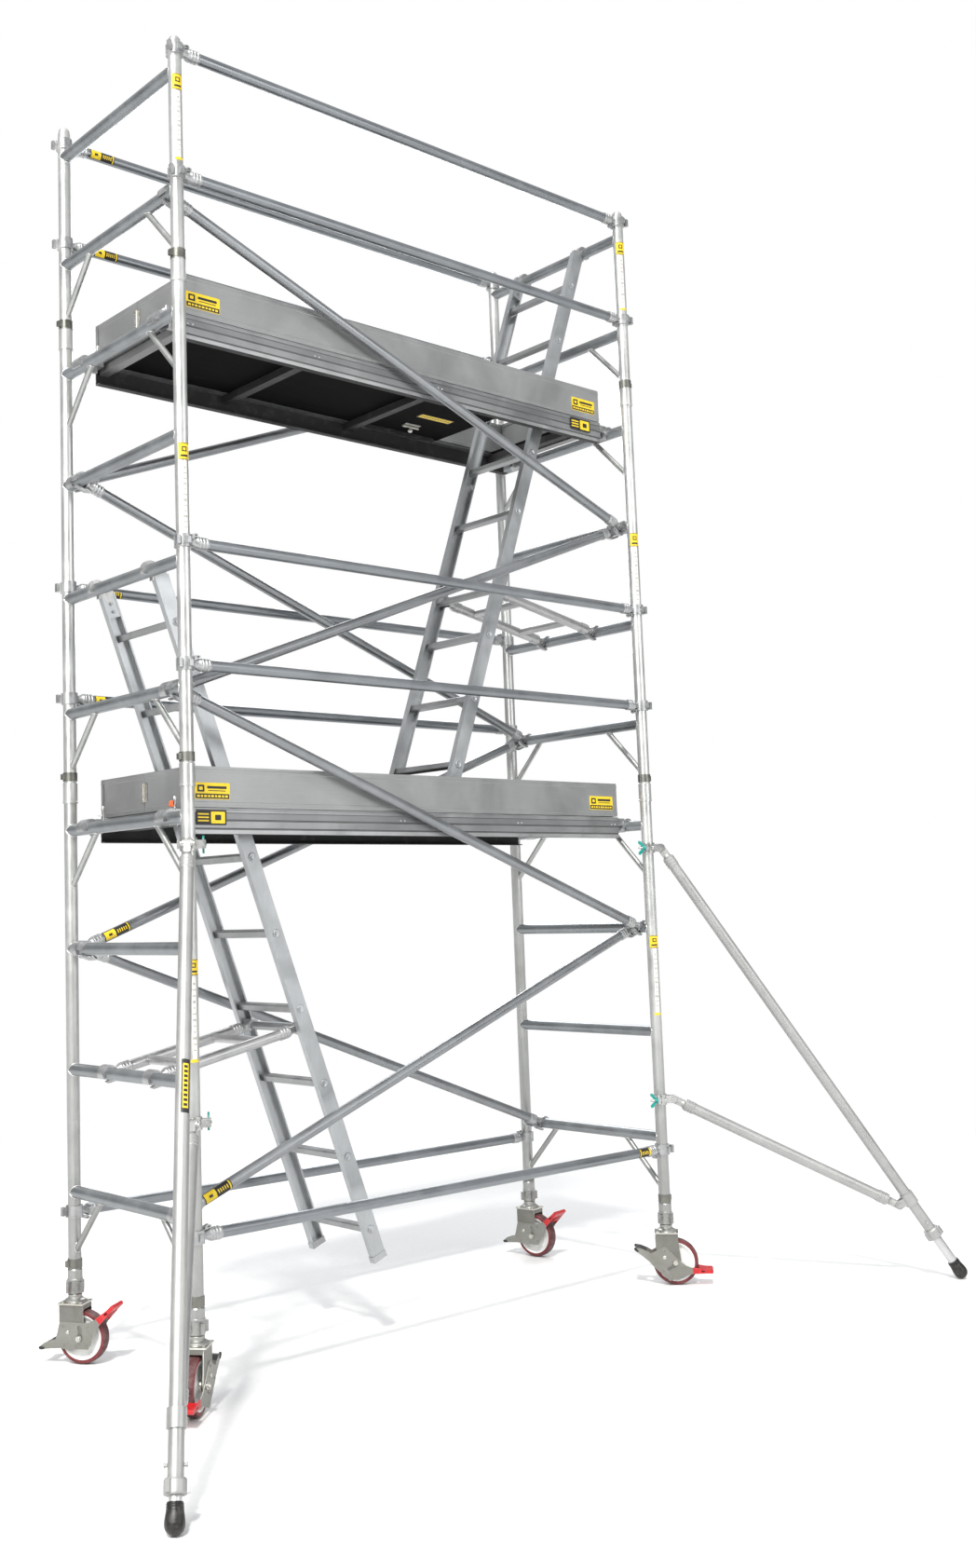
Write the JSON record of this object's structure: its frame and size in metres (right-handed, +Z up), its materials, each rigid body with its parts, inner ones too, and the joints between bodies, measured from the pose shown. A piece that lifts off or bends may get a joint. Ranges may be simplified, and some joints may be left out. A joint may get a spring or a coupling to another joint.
{
  "type": "mobile scaffold tower",
  "caption": "Rolling aluminium access tower of ladder frames with guard rails, hatch platforms, inclined ladders, outriggers and braked castors on screw legs.",
  "frame": {"origin": "on the ground under the middle of the box that holds the tower with its outriggers; the centre of the four posts is 0.15 m towards -X and 0.40 m towards +Y from it", "axes": "+X along the long side of the tower, +Y across it from the side with the outriggers to the plain side, +Z up"},
  "size_m": [4.1284, 1.9071, 5.0072],
  "materials": {
    "aluminium_tube": "drawn aluminium tube, lightly brushed and scuffed",
    "cast_alloy": "sand cast aluminium, fine grain",
    "zinc_steel": "bright zinc plated steel",
    "bright_steel": "polished plated steel",
    "ladder_alloy": "extruded aluminium",
    "deck_alloy": "extruded aluminium, mill finish",
    "toe_alloy": "rolled aluminium sheet section, mill finish",
    "phenolic_ply": "film faced plywood, anti-slip",
    "white_nylon": "moulded white plastic",
    "maroon_tyre": "dark red tread",
    "red_paint": "gloss red paint",
    "teal_paint": "teal painted casting",
    "black_rubber": "moulded rubber"
  },
  "bodies": {
    "tower": {"base_frame_left": "aluminium_tube", "middle_frame_left": "aluminium_tube", "guard_frame_left": "aluminium_tube", "base_frame_right": "aluminium_tube", "middle_frame_right": "aluminium_tube", "guard_frame_right": "aluminium_tube", "frame_lock_clips": "zinc_steel", "horizontal_rails": "aluminium_tube", "diagonal_braces": "aluminium_tube", "brace_hooks": "cast_alloy", "lower_ladder": "ladder_alloy", "upper_ladder": "ladder_alloy", "lower_ladder_stabiliser": "aluminium_tube", "upper_ladder_stabiliser": "aluminium_tube", "lower_deck_frame": "deck_alloy", "lower_deck_board": "phenolic_ply", "lower_toe_boards": "toe_alloy", "upper_deck_frame": "deck_alloy", "upper_deck_board": "phenolic_ply", "upper_toe_boards": "toe_alloy"},
    "lower_trapdoor": {"lower_trapdoor": "phenolic_ply"},
    "upper_trapdoor": {"upper_trapdoor": "phenolic_ply"},
    "leg_nut_front_left": {"leg_nut_front_left": "cast_alloy"},
    "leg_front_left": {"leg_screw_front_left": "zinc_steel"},
    "castor_front_left": {"castor_fork_front_left": "zinc_steel"},
    "wheel_front_left": {"wheel_hub_front_left": "white_nylon", "tyre_front_left": "maroon_tyre"},
    "brake_front_left": {"brake_pedal_front_left": "red_paint"},
    "leg_nut_back_left": {"leg_nut_back_left": "cast_alloy"},
    "leg_back_left": {"leg_screw_back_left": "zinc_steel"},
    "castor_back_left": {"castor_fork_back_left": "zinc_steel"},
    "wheel_back_left": {"wheel_hub_back_left": "white_nylon", "tyre_back_left": "maroon_tyre"},
    "brake_back_left": {"brake_pedal_back_left": "red_paint"},
    "leg_nut_front_right": {"leg_nut_front_right": "cast_alloy"},
    "leg_front_right": {"leg_screw_front_right": "zinc_steel"},
    "castor_front_right": {"castor_fork_front_right": "zinc_steel"},
    "wheel_front_right": {"wheel_hub_front_right": "white_nylon", "tyre_front_right": "maroon_tyre"},
    "brake_front_right": {"brake_pedal_front_right": "red_paint"},
    "leg_nut_back_right": {"leg_nut_back_right": "cast_alloy"},
    "leg_back_right": {"leg_screw_back_right": "zinc_steel"},
    "castor_back_right": {"castor_fork_back_right": "zinc_steel"},
    "wheel_back_right": {"wheel_hub_back_right": "white_nylon", "tyre_back_right": "maroon_tyre"},
    "brake_back_right": {"brake_pedal_back_right": "red_paint"},
    "outrigger_left": {"outrigger_clamps_left": "bright_steel", "outrigger_arm_left": "aluminium_tube", "outrigger_strut_left": "aluminium_tube"},
    "outrigger_leg_left": {"outrigger_leg_left": "aluminium_tube", "outrigger_foot_left": "black_rubber"},
    "wing_nut_left_upper": {"wing_nut_left_upper": "teal_paint"},
    "wing_nut_left_lower": {"wing_nut_left_lower": "teal_paint"},
    "outrigger_right": {"outrigger_clamps_right": "bright_steel", "outrigger_arm_right": "aluminium_tube", "outrigger_strut_right": "aluminium_tube"},
    "outrigger_leg_right": {"outrigger_leg_right": "aluminium_tube", "outrigger_foot_right": "black_rubber"},
    "wing_nut_right_upper": {"wing_nut_right_upper": "teal_paint"},
    "wing_nut_right_lower": {"wing_nut_right_lower": "teal_paint"}
  },
  "joints": [
    {"name": "upper_trapdoor_hinge", "type": "hinge", "parent": "tower", "child": "upper_trapdoor", "pos_m": [0.27, 0.102, 3.9795], "axis": [1, 0, 0], "range_deg": [0, 94]},
    {"name": "lower_trapdoor_hinge", "type": "hinge", "parent": "tower", "child": "lower_trapdoor", "pos_m": [-0.57, 0.698, 2.0995], "axis": [-1, 0, 0], "range_deg": [0, 94]},
    {"name": "leg_height_front_left", "type": "slide", "parent": "tower", "child": "leg_front_left", "axis": [0, 0, -1], "range_m": [0, 0.25]},
    {"name": "nut_turn_front_left", "type": "hinge", "parent": "tower", "child": "leg_nut_front_left", "pos_m": [-1.4, -0.03, 0.286], "axis": [0, 0, 1], "range_deg": [0, 9001]},
    {"name": "castor_swivel_front_left", "type": "hinge", "parent": "leg_front_left", "child": "castor_front_left", "pos_m": [-1.4, -0.03, 0.2], "axis": [0, 0, 1], "continuous": true},
    {"name": "wheel_spin_front_left", "type": "hinge", "parent": "castor_front_left", "child": "wheel_front_left", "pos_m": [-1.42681, -0.0525, 0.1], "axis": [0.6428, -0.766, 0], "continuous": true},
    {"name": "brake_press_front_left", "type": "hinge", "parent": "castor_front_left", "child": "brake_front_left", "pos_m": [-1.39004, -0.02164, 0.122], "axis": [0.6428, -0.766, 0], "range_deg": [-44, 0], "stiffness_Nm_per_rad": 4},
    {"name": "leg_height_back_left", "type": "slide", "parent": "tower", "child": "leg_back_left", "axis": [0, 0, -1], "range_m": [0, 0.25]},
    {"name": "nut_turn_back_left", "type": "hinge", "parent": "tower", "child": "leg_nut_back_left", "pos_m": [-1.4, 0.83, 0.286], "axis": [0, 0, 1], "range_deg": [0, 9001]},
    {"name": "castor_swivel_back_left", "type": "hinge", "parent": "leg_back_left", "child": "castor_back_left", "pos_m": [-1.4, 0.83, 0.2], "axis": [0, 0, 1], "continuous": true},
    {"name": "wheel_spin_back_left", "type": "hinge", "parent": "castor_back_left", "child": "wheel_back_left", "pos_m": [-1.38043, 0.80098, 0.1], "axis": [0.829, 0.5592, 0], "continuous": true},
    {"name": "brake_press_back_left", "type": "hinge", "parent": "castor_back_left", "child": "brake_back_left", "pos_m": [-1.40727, 0.84078, 0.122], "axis": [0.829, 0.5592, 0], "range_deg": [0, 44], "stiffness_Nm_per_rad": 4},
    {"name": "leg_height_front_right", "type": "slide", "parent": "tower", "child": "leg_front_right", "axis": [0, 0, -1], "range_m": [0, 0.25]},
    {"name": "nut_turn_front_right", "type": "hinge", "parent": "tower", "child": "leg_nut_front_right", "pos_m": [1.1, -0.03, 0.286], "axis": [0, 0, 1], "range_deg": [0, 9001]},
    {"name": "castor_swivel_front_right", "type": "hinge", "parent": "leg_front_right", "child": "castor_front_right", "pos_m": [1.1, -0.03, 0.2], "axis": [0, 0, 1], "continuous": true},
    {"name": "wheel_spin_front_right", "type": "hinge", "parent": "castor_front_right", "child": "wheel_front_right", "pos_m": [1.1225, -0.05681, 0.1], "axis": [0.766, 0.6428, 0], "continuous": true},
    {"name": "brake_press_front_right", "type": "hinge", "parent": "castor_front_right", "child": "brake_front_right", "pos_m": [1.09164, -0.02004, 0.122], "axis": [0.766, 0.6428, 0], "range_deg": [-44, 0], "stiffness_Nm_per_rad": 4},
    {"name": "leg_height_back_right", "type": "slide", "parent": "tower", "child": "leg_back_right", "axis": [0, 0, -1], "range_m": [0, 0.25]},
    {"name": "nut_turn_back_right", "type": "hinge", "parent": "tower", "child": "leg_nut_back_right", "pos_m": [1.1, 0.83, 0.286], "axis": [0, 0, 1], "range_deg": [0, 9001]},
    {"name": "castor_swivel_back_right", "type": "hinge", "parent": "leg_back_right", "child": "castor_back_right", "pos_m": [1.1, 0.83, 0.2], "axis": [0, 0, 1], "continuous": true},
    {"name": "wheel_spin_back_right", "type": "hinge", "parent": "castor_back_right", "child": "wheel_back_right", "pos_m": [1.10608, 0.79553, 0.1], "axis": [0.9848, 0.1736, 0], "continuous": true},
    {"name": "brake_press_back_right", "type": "hinge", "parent": "castor_back_right", "child": "brake_back_right", "pos_m": [1.09774, 0.8428, 0.122], "axis": [0.9848, 0.1736, 0], "range_deg": [0, 44], "stiffness_Nm_per_rad": 4},
    {"name": "outrigger_swing_left", "type": "hinge", "parent": "tower", "child": "outrigger_left", "pos_m": [-1.4, -0.03, 1], "axis": [0, 0, 1], "range_deg": [-40, 15]},
    {"name": "outrigger_reach_left", "type": "slide", "parent": "outrigger_left", "child": "outrigger_leg_left", "axis": [-0.2751, -0.369, -0.8878], "range_m": [-0.01, 0.3]},
    {"name": "wing_nut_turn_left_upper", "type": "hinge", "parent": "outrigger_left", "child": "wing_nut_left_upper", "pos_m": [-1.34118, -0.03643, 1.955], "axis": [0.5976, 0.8018, 0], "range_deg": [0, 720]},
    {"name": "wing_nut_turn_left_lower", "type": "hinge", "parent": "outrigger_left", "child": "wing_nut_left_lower", "pos_m": [-1.34118, -0.03643, 0.978], "axis": [0.5976, 0.8018, 0], "range_deg": [0, 720]},
    {"name": "outrigger_swing_right", "type": "hinge", "parent": "tower", "child": "outrigger_right", "pos_m": [1.1, -0.03, 1], "axis": [0, 0, 1], "range_deg": [-20, 40]},
    {"name": "outrigger_reach_right", "type": "slide", "parent": "outrigger_right", "child": "outrigger_leg_right", "axis": [0.3922, -0.3683, -0.843], "range_m": [-0.11, 0.25]},
    {"name": "wing_nut_turn_right_upper", "type": "hinge", "parent": "outrigger_right", "child": "wing_nut_right_upper", "pos_m": [1.04322, -0.04664, 1.948], "axis": [-0.729, 0.6845, 0], "range_deg": [0, 720]},
    {"name": "wing_nut_turn_right_lower", "type": "hinge", "parent": "outrigger_right", "child": "wing_nut_right_lower", "pos_m": [1.04322, -0.04664, 0.811], "axis": [-0.729, 0.6845, 0], "range_deg": [0, 720]}
  ],
  "couplings": [
    {"joint": "nut_turn_front_left", "follows": "leg_height_front_left", "rad_per_m": 628.32},
    {"joint": "nut_turn_back_left", "follows": "leg_height_back_left", "rad_per_m": 628.32},
    {"joint": "nut_turn_front_right", "follows": "leg_height_front_right", "rad_per_m": 628.32},
    {"joint": "nut_turn_back_right", "follows": "leg_height_back_right", "rad_per_m": 628.32}
  ]
}
